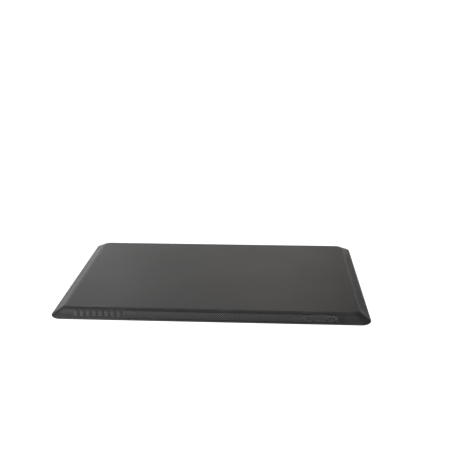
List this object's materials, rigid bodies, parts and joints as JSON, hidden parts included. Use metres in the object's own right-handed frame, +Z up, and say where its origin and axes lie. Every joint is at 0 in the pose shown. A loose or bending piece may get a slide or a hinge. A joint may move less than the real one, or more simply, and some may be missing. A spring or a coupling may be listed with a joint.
{
  "type": "anti-fatigue mat",
  "caption": "Oblong cushioned standing mat with a flat smooth top, wide textured bevels on all sides, a foam core and a non-slip base.",
  "frame": {"origin": "middle of the underside, on the floor plane", "axes": "+X along the long side, +Y towards the back edge, +Z up through the standing surface"},
  "size_m": [0.762, 0.508, 0.019],
  "materials": {
    "cover_skin": "satin",
    "core_foam": "matte",
    "base_grip": "matte"
  },
  "bodies": {
    "root": {"top_cover": "cover_skin", "foam_core": "core_foam", "base_sheet": "base_grip"}
  },
  "joints": []
}
